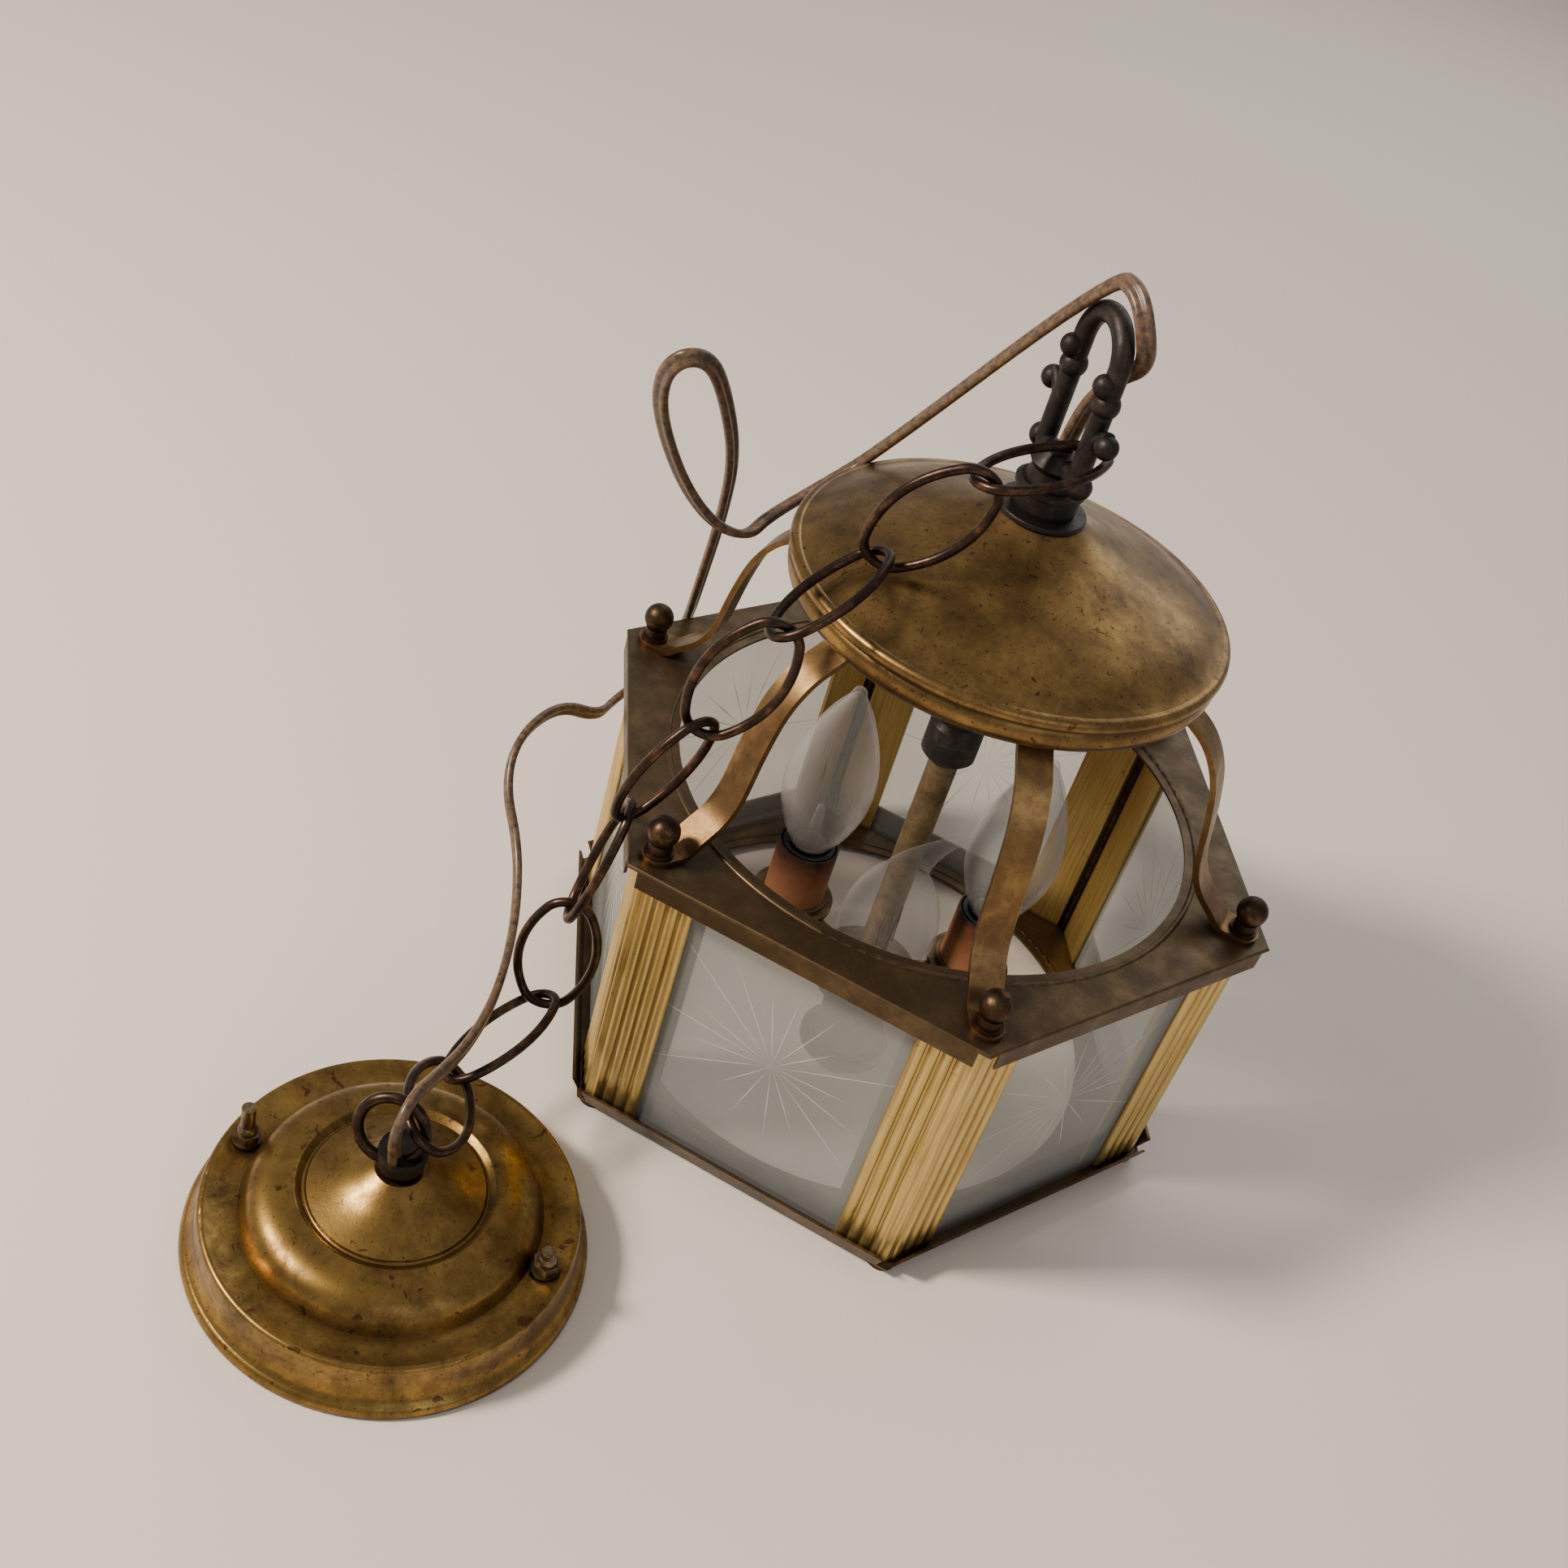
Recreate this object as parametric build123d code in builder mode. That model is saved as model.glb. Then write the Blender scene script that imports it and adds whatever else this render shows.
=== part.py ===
from build123d import *
import os
from math import acos, atan2, cos, degrees, pi, radians, sin, sqrt, tan

# Hanging hexagonal hall lantern with a chain, a ceiling canopy and a twin-wire cord.
# Millimetres. The origin is on the lantern's axis at the level its feet stand on, +Z up.
# Corners of the hexagon lie at 0, 60, 120 ... degrees, so two of the flats face -Y and +Y.

os.makedirs("parts", exist_ok=True)

# ---------------------------------------------------------------- driving dimensions
COS30 = cos(radians(30))

FRAME_R = 117.3          # centre to corner of the top frame, 8 inches across its flats
FRAME_TOP_Z = 109.0      # upper face of the top frame
FRAME_BASE_Z = 2.3       # underside of the bottom frame
FRAME_BASE_R = 113.6     # centre to corner of the bottom frame at its fold
FRAME_FLARE = 22.8       # lean of the bottom frame's lips, degrees
LIP_H = 7.0
SHEET = 1.0
MOUTH_R = 85.0           # round opening in both frames
RIDGE_OUT = 3.6          # raised ring, measured out from the opening's edge

ROD_PITCH_R = 107.0      # the six corner rods
ROD_R = 2.0
ROD_HOLE_R = 2.3
FOOT_R = 5.0
BALL_R = 4.9

GLASS_OUT = 95.1         # distance from the axis to the outer face of a pane
GLASS_T = 2.0
GLASS_W = 101.6
STRIP_IN = 95.2          # inner face of a reeded corner strip
STRIP_T = 1.0
STRIP_LEG = 18.0
REED_R = 2.0
REED_PITCH = 4.2
INNER_STRIP_OUT = 93.0
INNER_STRIP_T = 1.2
INNER_STRIP_W = 17.0

STRAP_W = 10.5
STRAP_T = 2.0

CROWN_RIM_R = 66.6
CROWN_RIM_Z = 187.7
CROWN_TOP_Z = 214.0
PLATE_Z = 180.0
PLATE_R = 62.8

LOOP_TURN = -48.0        # direction of the loop's near arm
LOOP_HALF = 11.5
LOOP_TOP_Z = 264.0       # centre of the arch
LOOP_WIRE_R = 3.1

CANDLE_PITCH_R = 39.0
CANDLE_AZIMUTHS = (160.0, 39.0, -78.0)
SLEEVE_R = 11.0
SLEEVE_Z = 27.0
SLEEVE_TOP_Z = 50.0

LINK_HALF_L = 21.5       # centre line, half the length
LINK_HALF_W = 11.7
LINK_END_R = 8.0
LINK_WIRE_R = 1.45

CANOPY_X = -75.0
CANOPY_Y = -176.5
RING_R = 9.8
RING_WIRE_R = 1.7

CORD_R = 1.75

# Where neighbouring chain links bear on each other, from the loop to the canopy's ring,
# with each link's twist about its own length.
BENDS = [
    (9.4, -5.9, 239.8),
    (-9.8, -39.2, 235.1),
    (-31.4, -43.8, 203.3),
    (-40.5, -78.9, 190.3),
    (-53.2, -85.7, 154.3),
    (-66.1, -91.9, 118.2),
    (-73.0, -100.9, 81.1),
    (-73.9, -103.4, 42.7),
    (-80.7, -141.0, 36.6),
    (-70.1, -175.9, 50.2),
]
TWISTS = [11, 81, 30, -86, 48, 30, -43, 31, -36]

# The cord's route: out of the loop, over its top, behind the crown, a slack bight at the
# left, down outside the lantern's far left side and along the chain into the canopy.
CORD_ROUTE = [
    (0.0, 0.0, 234.0),
    (0.4, 0.4, 246.0),
    (5.4, 1.5, 258.0),
    (13.6, -3.9, 267.0),
    (10.2, -9.6, 279.5),
    (3.6, -4.2, 286.2),
    (-4.6, 2.2, 285.0),
    (-61.5, 35.5, 190.0),
    (-72.0, 24.0, 178.0),
    (-80.0, 0.0, 172.0),
    (-80.5, -12.0, 169.5),
    (-90.5, -18.5, 173.0),
    (-100.2, -27.3, 188.0),
    (-106.1, -39.5, 212.0),
    (-104.5, -47.0, 228.0),
    (-99.0, -48.5, 236.5),
    (-93.5, -42.5, 236.0),
    (-90.7, -33.3, 224.0),
    (-89.9, -14.5, 196.0),
    (-94.2, -0.5, 166.0),
    (-100.5, 11.8, 130.0),
    (-108.2, 29.4, 100.0),
    (-112.5, 23.0, 82.0),
    (-119.0, 6.0, 73.0),
    (-117.5, -8.0, 75.0),
    (-126.5, -21.0, 83.0),
    (-128.6, -43.0, 82.0),
    (-123.4, -57.5, 73.0),
    (-110.0, -67.0, 60.0),
    (-98.5, -83.5, 52.5),
    (-89.5, -102.0, 49.0),
    (-83.0, -121.0, 47.5),
    (-79.5, -140.0, 48.5),
    (-78.0, -158.0, 54.0),
    (-75.4, -175.5, 64.0),
    (-74.6, -183.5, 57.0),
    (-74.5, -182.8, 49.0),
    (-74.6, -181.5, 43.0),
]


def face_point(apothem, along):
    """Point on the face to the left of the corner at 0 degrees.

    apothem is the distance from the axis to the face, and along is measured from the corner.
    """
    reach = along - apothem * tan(radians(30))
    return (
        apothem * cos(radians(30)) - reach * sin(radians(30)),
        apothem * sin(radians(30)) + reach * cos(radians(30)),
    )


def mirrored(point):
    return (point[0], -point[1])


# ---------------------------------------------------------------- frames
# Sheet pressing: a hexagonal plate with a round opening, a raised ring round the opening,
# a lip turned down along each side and a gap between lips at each corner.
with BuildPart() as top_frame:
    with BuildSketch(Plane.XY.offset(FRAME_TOP_Z - LIP_H)):
        RegularPolygon(radius=FRAME_R, side_count=6)
    extrude(amount=LIP_H)
    fillet(top_frame.edges().group_by(Axis.Z)[-1], radius=0.9)
    with BuildSketch(Plane.XY.offset(FRAME_TOP_Z - LIP_H)):
        RegularPolygon(radius=FRAME_R - SHEET / COS30, side_count=6)
    extrude(amount=LIP_H - SHEET, mode=Mode.SUBTRACT)
    with BuildSketch(Plane.XY.offset(FRAME_TOP_Z - LIP_H)):
        with PolarLocations(FRAME_R, 6):
            Rectangle(12, 6.2)
    extrude(amount=LIP_H - SHEET, mode=Mode.SUBTRACT)
    with BuildSketch(Plane.XY.offset(FRAME_TOP_Z - SHEET)):
        Circle(MOUTH_R)
        with PolarLocations(ROD_PITCH_R, 6):
            Circle(ROD_HOLE_R)
    extrude(amount=SHEET, mode=Mode.SUBTRACT)
    with BuildSketch(Plane.XZ):
        with Locations((MOUTH_R + RIDGE_OUT, FRAME_TOP_Z - 0.4)):
            Circle(1.0)
    revolve(axis=Axis.Z)
top_frame.part.label = "top_frame"
export_step(top_frame.part, "parts/top_frame.step")

with BuildPart() as bottom_frame:
    with BuildSketch(Plane.XY.offset(FRAME_BASE_Z)):
        RegularPolygon(radius=FRAME_BASE_R, side_count=6)
    extrude(amount=LIP_H, taper=-FRAME_FLARE)
    with BuildSketch(Plane.XY.offset(FRAME_BASE_Z + SHEET)):
        RegularPolygon(radius=FRAME_BASE_R - 0.7, side_count=6)
    extrude(amount=LIP_H, taper=-FRAME_FLARE, mode=Mode.SUBTRACT)
    with BuildSketch(Plane.XY.offset(FRAME_BASE_Z + SHEET)):
        with PolarLocations(FRAME_R - 1, 6):
            Rectangle(14, 6.2)
    extrude(amount=LIP_H, mode=Mode.SUBTRACT)
    with BuildSketch(Plane.XY.offset(FRAME_BASE_Z)):
        Circle(MOUTH_R)
        with PolarLocations(ROD_PITCH_R, 6):
            Circle(ROD_HOLE_R)
    extrude(amount=SHEET, mode=Mode.SUBTRACT)
    with BuildSketch(Plane.XZ):
        with Locations((MOUTH_R + RIDGE_OUT, FRAME_BASE_Z + 0.4)):
            Circle(1.0)
    revolve(axis=Axis.Z)
bottom_frame.part.label = "bottom_frame"
export_step(bottom_frame.part, "parts/bottom_frame.step")

# ---------------------------------------------------------------- corner rods and nuts
with BuildPart() as tie_rods:
    with BuildSketch(Plane.XY.offset(FRAME_BASE_Z)):
        with PolarLocations(ROD_PITCH_R, 6):
            Circle(ROD_R)
    extrude(amount=FRAME_TOP_Z + STRAP_T - FRAME_BASE_Z)
tie_rods.part.label = "tie_rods"
export_step(tie_rods.part, "parts/tie_rods.step")

with BuildPart() as rod_feet:
    with BuildSketch():
        with PolarLocations(ROD_PITCH_R, 6):
            Circle(FOOT_R)
    extrude(amount=FRAME_BASE_Z)
    chamfer(rod_feet.edges().group_by(Axis.Z)[-1], length=0.5)
rod_feet.part.label = "rod_feet"
export_step(rod_feet.part, "parts/rod_feet.step")

with BuildPart() as ball_nuts:
    with BuildSketch(Plane.XY.offset(FRAME_TOP_Z + STRAP_T)):
        with PolarLocations(ROD_PITCH_R, 6):
            Circle(4.4)
    extrude(amount=1.0)
    with BuildSketch(Plane.XY.offset(FRAME_TOP_Z + STRAP_T)):
        with PolarLocations(ROD_PITCH_R, 6):
            Circle(3.6)
    extrude(amount=4.0)
    with Locations((0, 0, FRAME_TOP_Z + STRAP_T + 3.0 + BALL_R)):
        with PolarLocations(ROD_PITCH_R, 6):
            Sphere(BALL_R)
ball_nuts.part.label = "ball_nuts"
export_step(ball_nuts.part, "parts/ball_nuts.step")

# ---------------------------------------------------------------- glass and its strips
GLASS_Z = FRAME_BASE_Z + SHEET
GLASS_H = FRAME_TOP_Z - SHEET - GLASS_Z

with BuildPart() as pane:
    with BuildSketch(Plane.XY.offset(GLASS_Z)):
        with Locations((GLASS_OUT - GLASS_T / 2, 0)):
            Rectangle(GLASS_T, GLASS_W)
    extrude(amount=GLASS_H)

leg = [
    face_point(STRIP_IN + STRIP_T, STRIP_LEG),
    face_point(STRIP_IN + STRIP_T, 0),
    mirrored(face_point(STRIP_IN + STRIP_T, STRIP_LEG)),
    mirrored(face_point(STRIP_IN, STRIP_LEG)),
    face_point(STRIP_IN, 0),
    face_point(STRIP_IN, STRIP_LEG),
]
reeds = [face_point(STRIP_IN, 3.4 + REED_PITCH * n) for n in range(4)]

# Rolled brass angle of 120 degrees with four half-round reeds on each leg.
with BuildPart() as reeded_angle:
    with BuildSketch(Plane.XY.offset(GLASS_Z)):
        with BuildLine():
            Polyline(*leg, close=True)
        make_face()
        with Locations(*reeds):
            Circle(REED_R)
        with Locations(*[mirrored(p) for p in reeds]):
            Circle(REED_R)
        RegularPolygon(radius=STRIP_IN / COS30, side_count=6, mode=Mode.SUBTRACT)
    extrude(amount=GLASS_H)

for n in range(6):
    glass_panel = pane.part.rotate(Axis.Z, 30 + 60 * n)
    glass_panel.label = f"glass_panel_{n + 1}"
    export_step(glass_panel, f"parts/glass_panel_{n + 1}.step")
    reeded_strip = reeded_angle.part.rotate(Axis.Z, 60 * n)
    reeded_strip.label = f"reeded_strip_{n + 1}"
    export_step(reeded_strip, f"parts/reeded_strip_{n + 1}.step")

# Plain flat brass strips behind the glass, two at each corner with a slot between them.
with BuildPart() as inner_strips:
    with BuildSketch(Plane.XY.offset(GLASS_Z)):
        for n in range(6):
            for side in (-1, 1):
                with Locations(Rotation(0, 0, 30 + 60 * n) * Location((
                    INNER_STRIP_OUT - INNER_STRIP_T / 2,
                    side * (GLASS_W / 2 - INNER_STRIP_W / 2 - 0.4),
                ))):
                    Rectangle(INNER_STRIP_T, INNER_STRIP_W)
    extrude(amount=GLASS_H)
inner_strips.part.label = "inner_strips"
export_step(inner_strips.part, "parts/inner_strips.step")

# ---------------------------------------------------------------- straps and crown
strap_z = FRAME_TOP_Z + STRAP_T / 2
tab_z = PLATE_Z - STRAP_T / 2
with BuildPart() as strap:
    with BuildLine(Plane.XZ) as strap_run:
        foot = Line((ROD_PITCH_R, strap_z), (102.4, strap_z))
        bow = Spline(
            (102.4, strap_z),
            (97.0, 113.2),
            (90.8, 118.8),
            (86.6, 125.5),
            (84.6, 133.0),
            (83.2, 141.0),
            (81.2, 150.0),
            (78.4, 158.8),
            (74.4, 165.6),
            (68.6, 171.2),
            (61.8, 175.9),
            (54.0, tab_z),
            tangents=[(-1, 0), (-1, 0)],
        )
        tab = Line((54.0, tab_z), (47.0, tab_z))
    with BuildSketch(Plane(origin=(ROD_PITCH_R, 0, strap_z), x_dir=(0, 1, 0), z_dir=(-1, 0, 0))):
        Rectangle(STRAP_W, STRAP_T)
    sweep()
    with BuildSketch(Plane.XY.offset(FRAME_TOP_Z)):
        with Locations((ROD_PITCH_R, 0)):
            Circle(STRAP_W / 2)
    extrude(amount=STRAP_T)
    with BuildSketch(Plane.XY.offset(FRAME_TOP_Z)):
        with Locations((ROD_PITCH_R, 0)):
            Circle(ROD_HOLE_R)
    extrude(amount=STRAP_T, mode=Mode.SUBTRACT)

for n in range(6):
    strap_copy = strap.part.rotate(Axis.Z, 60 * n)
    strap_copy.label = f"strap_{n + 1}"
    export_step(strap_copy, f"parts/strap_{n + 1}.step")

# Flat plate that the straps' upper tabs are fixed under, inside the crown.
with BuildPart() as crown_plate:
    with BuildSketch(Plane.XY.offset(PLATE_Z)):
        Circle(PLATE_R)
        Circle(5.3, mode=Mode.SUBTRACT)
        with PolarLocations(30, 6, start_angle=30):
            Circle(8, mode=Mode.SUBTRACT)
    extrude(amount=1.5)
crown_plate.part.label = "crown_plate"
export_step(crown_plate.part, "parts/crown_plate.step")

with BuildPart() as strap_nuts:
    with BuildSketch(Plane.XY.offset(tab_z - STRAP_T / 2 - 3.0)):
        with PolarLocations(50.5, 6):
            RegularPolygon(radius=4.2, side_count=6)
    extrude(amount=3.0)
    with Locations((0, 0, tab_z - STRAP_T / 2 - 3.0)):
        with PolarLocations(50.5, 6):
            Sphere(2.8)
strap_nuts.part.label = "strap_nuts"
export_step(strap_nuts.part, "parts/strap_nuts.step")

# Spun crown: a shallow trumpet with a rolled bead at its rim.
with BuildPart() as crown_cap:
    with BuildSketch(Plane.XZ):
        with BuildLine():
            skin = Spline(
                (12.5, CROWN_TOP_Z),
                (18.5, 210.0),
                (27.0, 206.0),
                (37.0, 202.0),
                (47.5, 198.0),
                (57.0, 193.9),
                (62.6, 190.8),
                (65.4, 189.6),
            )
            bead = ThreePointArc((65.4, 189.6), (68.2, CROWN_RIM_Z), (CROWN_RIM_R, 185.2))
            under = Line((CROWN_RIM_R, 185.2), (64.6, 185.2))
            back = Line((64.6, 185.2), (64.4, 188.6))
            lining = Spline(
                (64.4, 188.6),
                (62.0, 189.7),
                (56.4, 192.8),
                (47.0, 196.9),
                (36.6, 200.9),
                (26.6, 204.9),
                (17.9, 209.0),
                (11.9, CROWN_TOP_Z - 1.0),
            )
            Line((11.9, CROWN_TOP_Z - 1.0), (5.3, CROWN_TOP_Z - 1.0))
            Line((5.3, CROWN_TOP_Z - 1.0), (5.3, CROWN_TOP_Z))
            Line((5.3, CROWN_TOP_Z), (12.5, CROWN_TOP_Z))
        make_face()
    revolve(axis=Axis.Z)
crown_cap.part.label = "crown_cap"
export_step(crown_cap.part, "parts/crown_cap.step")

# Half-round band under the crown's rim.
with BuildPart() as crown_band:
    with BuildSketch(Plane.XZ):
        with BuildLine():
            Line((PLATE_R, 185.2), (66.2, 185.2))
            ThreePointArc((66.2, 185.2), (67.4, 181.4), (65.2, 177.6))
            Line((65.2, 177.6), (PLATE_R, 177.6))
            Line((PLATE_R, 177.6), (PLATE_R, 185.2))
        make_face()
    revolve(axis=Axis.Z)
crown_band.part.label = "crown_band"
export_step(crown_band.part, "parts/crown_band.step")

# ---------------------------------------------------------------- loop on top of the crown
with BuildPart() as loop_washer:
    with BuildSketch(Plane.XY.offset(CROWN_TOP_Z)):
        Circle(13.5)
        Circle(5.3, mode=Mode.SUBTRACT)
    extrude(amount=1.4)
    fillet(loop_washer.edges().group_by(Axis.Z)[-1].sort_by(SortBy.LENGTH)[-1], radius=0.6)
loop_washer.part.label = "loop_washer"
export_step(loop_washer.part, "parts/loop_washer.step")

collar_z = CROWN_TOP_Z + 1.4
with BuildPart() as loop_collar:
    with BuildSketch(Plane.XZ):
        with BuildLine():
            Polyline(
                (5.3, collar_z),
                (9.6, collar_z),
                (9.9, collar_z + 6.0),
                (10.6, collar_z + 6.6),
                (10.6, collar_z + 7.8),
                (9.4, collar_z + 8.6),
                (5.3, collar_z + 8.6),
                close=True,
            )
        make_face()
    revolve(axis=Axis.Z)
loop_collar.part.label = "loop_collar"
export_step(loop_collar.part, "parts/loop_collar.step")

loop_z = collar_z + 8.6
loop_plane = Plane(
    origin=(0, 0, 0),
    x_dir=(cos(radians(LOOP_TURN)), sin(radians(LOOP_TURN)), 0),
    z_dir=(sin(radians(LOOP_TURN)), -cos(radians(LOOP_TURN)), 0),
)
# Cast loop: a turned foot, a saddle with two balls, two arms with a bead and a curled horn
# on each, and a round arch.
with BuildPart() as cast_loop:
    with BuildSketch(loop_plane):
        with BuildLine():
            Polyline((0, loop_z), (8.2, loop_z), (7.4, loop_z + 4.0), (8.6, 230.0), (6.0, 234.0), (0, 234.0), close=True)
        make_face()
    revolve(axis=Axis.Z)
    with BuildLine(loop_plane) as arch_run:
        Line((LOOP_HALF, 232.0), (LOOP_HALF, LOOP_TOP_Z))
        ThreePointArc((LOOP_HALF, LOOP_TOP_Z), (0, LOOP_TOP_Z + LOOP_HALF), (-LOOP_HALF, LOOP_TOP_Z))
        Line((-LOOP_HALF, LOOP_TOP_Z), (-LOOP_HALF, 232.0))
    with BuildSketch(Plane(origin=arch_run.line @ 0, z_dir=arch_run.line % 0)):
        Circle(LOOP_WIRE_R)
    sweep()
    with BuildSketch(Plane(origin=loop_plane.from_local_coords((-13.0, 230.6, 0)), z_dir=loop_plane.x_dir)):
        Circle(3.0)
    extrude(amount=26.0)
    for side in (-1, 1):
        with Locations(loop_plane.location * Location((side * 14.2, 230.6, 0))):
            Sphere(3.7)
        with Locations(loop_plane.location * Location((side * LOOP_HALF, 255.0, 0))):
            Sphere(4.1)
        with Locations(loop_plane.location * Location((side * LOOP_HALF, 260.5, 2.6))):
            Sphere(3.4)
    for side in (-1, 1):
        with BuildLine(loop_plane) as horn_run:
            ThreePointArc((side * (LOOP_HALF + 0.6), 241.5), (side * 15.6, 246.8), (side * 19.0, 248.6))
        with BuildSketch(Plane(origin=horn_run.line @ 0, z_dir=horn_run.line % 0)):
            Circle(2.1)
        sweep()
        with Locations(loop_plane.location * Location((side * 19.4, 246.4, 0))):
            Sphere(3.5)
cast_loop.part.label = "cast_loop"
export_step(cast_loop.part, "parts/cast_loop.step")

# ---------------------------------------------------------------- stem and candle cluster
with BuildPart() as stem_nipple:
    with BuildSketch(Plane.XY.offset(150)):
        Circle(5.0)
        Circle(3.4, mode=Mode.SUBTRACT)
    extrude(amount=loop_z - 150)
stem_nipple.part.label = "stem_nipple"
export_step(stem_nipple.part, "parts/stem_nipple.step")

with BuildPart() as stem_coupling:
    with BuildSketch(Plane.XZ):
        with BuildLine():
            Polyline(
                (0, 121),
                (7.6, 121),
                (9.0, 122.5),
                (9.0, 134.0),
                (7.6, 136.0),
                (8.2, 137.5),
                (8.2, 147.5),
                (7.0, 150.0),
                (0, 150.0),
                close=True,
            )
        make_face()
    revolve(axis=Axis.Z)
stem_coupling.part.label = "stem_coupling"
export_step(stem_coupling.part, "parts/stem_coupling.step")

with BuildPart() as center_stem:
    with BuildSketch(Plane.XY.offset(30)):
        Circle(5.0)
    extrude(amount=91)
center_stem.part.label = "center_stem"
export_step(center_stem.part, "parts/center_stem.step")

with BuildPart() as cluster_body:
    with BuildSketch(Plane.XZ):
        with BuildLine():
            Polyline((0, 13), (15, 13), (18, 16), (18, 24), (13, 28), (6, 30), (0, 30), close=True)
        make_face()
    revolve(axis=Axis.Z)
    for azimuth in CANDLE_AZIMUTHS:
        out = Vector(cos(radians(azimuth)), sin(radians(azimuth)), 0)
        with BuildSketch(Plane(origin=out * 12 + Vector(0, 0, 19), z_dir=out)):
            Circle(4.2)
        extrude(amount=CANDLE_PITCH_R - 12)
    for azimuth in CANDLE_AZIMUTHS:
        foot_x = CANDLE_PITCH_R * cos(radians(azimuth))
        foot_y = CANDLE_PITCH_R * sin(radians(azimuth))
        with BuildSketch(Plane.XY.offset(14)):
            with Locations((foot_x, foot_y)):
                Circle(7.5)
        extrude(amount=9)
        with BuildSketch(Plane.XY.offset(23)):
            with Locations((foot_x, foot_y)):
                Circle(15.0)
        extrude(amount=2.0)
        with BuildSketch(Plane.XY.offset(25)):
            with Locations((foot_x, foot_y)):
                Circle(12.5)
        extrude(amount=SLEEVE_Z - 25)
cluster_body.part.label = "cluster_body"
export_step(cluster_body.part, "parts/cluster_body.step")

with BuildPart() as cluster_cap:
    with BuildSketch(Plane.XZ):
        with BuildLine():
            Polyline((0, 5), (3.5, 5), (4.5, 7), (4.0, 9), (13.0, 10.5), (14.0, 13), (0, 13), close=True)
        make_face()
    revolve(axis=Axis.Z)
cluster_cap.part.label = "cluster_cap"
export_step(cluster_cap.part, "parts/cluster_cap.step")

# Each candle is made on its own axis: a card sleeve, a socket inside it and a lamp.
# The lamp's screw shell runs in the socket with 0.3 clearance.
bulb_skin = [
    (7.2, 51.0),
    (9.6, 55.0),
    (12.9, 62.0),
    (15.3, 70.0),
    (16.0, 78.0),
    (15.2, 87.0),
    (12.9, 96.0),
    (9.4, 105.0),
    (5.6, 112.5),
    (2.6, 118.0),
]
bent_skin = bulb_skin[:5] + [(15.0, 86.0), (12.0, 94.0), (8.2, 100.0)]


def candle_plane(azimuth):
    centre = (CANDLE_PITCH_R * cos(radians(azimuth)), CANDLE_PITCH_R * sin(radians(azimuth)), 0)
    return Plane(origin=centre, x_dir=(1, 0, 0), z_dir=(0, -1, 0))


def candle_axis(azimuth):
    return Axis((CANDLE_PITCH_R * cos(radians(azimuth)), CANDLE_PITCH_R * sin(radians(azimuth)), 0), (0, 0, 1))


for n, azimuth in enumerate(CANDLE_AZIMUTHS, start=1):
    with BuildPart() as candle_sleeve:
        with BuildSketch(candle_plane(azimuth)):
            with Locations(((10.3 + SLEEVE_R) / 2, (SLEEVE_Z + SLEEVE_TOP_Z) / 2)):
                Rectangle(SLEEVE_R - 10.3, SLEEVE_TOP_Z - SLEEVE_Z)
        revolve(axis=candle_axis(azimuth))
    candle_sleeve.part.label = f"candle_sleeve_{n}"
    export_step(candle_sleeve.part, f"parts/candle_sleeve_{n}.step")

    with BuildPart() as bulb_base:
        with BuildSketch(candle_plane(azimuth)):
            with BuildLine():
                Polyline((0, 30), (2.2, 30), (2.2, 32), (5.6, 33.5), (5.9, 35), (5.9, 49.5), (6.2, 50.8), (0, 50.8), close=True)
            make_face()
        revolve(axis=candle_axis(azimuth))
    bulb_base.part.label = f"bulb_base_{n}"
    export_step(bulb_base.part, f"parts/bulb_base_{n}.step")

with BuildPart() as candle_sockets:
    for azimuth in CANDLE_AZIMUTHS:
        with BuildSketch(candle_plane(azimuth)):
            with BuildLine():
                Polyline(
                    (0, SLEEVE_Z),
                    (9.6, SLEEVE_Z),
                    (9.6, 50.0),
                    (8.0, 50.0),
                    (8.0, 48.0),
                    (6.2, 47.0),
                    (6.2, 29.4),
                    (0, 29.4),
                    close=True,
                )
            make_face()
        revolve(axis=candle_axis(azimuth))
candle_sockets.part.label = "candle_sockets"
export_step(candle_sockets.part, "parts/candle_sockets.step")

for n, azimuth in enumerate(CANDLE_AZIMUTHS[:2], start=1):
    with BuildPart() as bulb_glass:
        with BuildSketch(candle_plane(azimuth)):
            with BuildLine():
                outer = Spline(*bulb_skin, (0, 120.2), tangents=[(0.4, 1), (-1, 0)])
                Line((0, 120.2), (0, 118.8))
                Spline((0, 118.8), *[(r - 0.8, z - 0.2) for r, z in reversed(bulb_skin)][1:], tangents=[(1, -0.6), (-0.4, -1)])
                Line((bulb_skin[0][0] - 0.8, bulb_skin[0][1] - 0.2), bulb_skin[0])
            make_face()
        revolve(axis=candle_axis(azimuth))
    bulb_glass.part.label = f"bulb_glass_{n}"
    export_step(bulb_glass.part, f"parts/bulb_glass_{n}.step")

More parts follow.
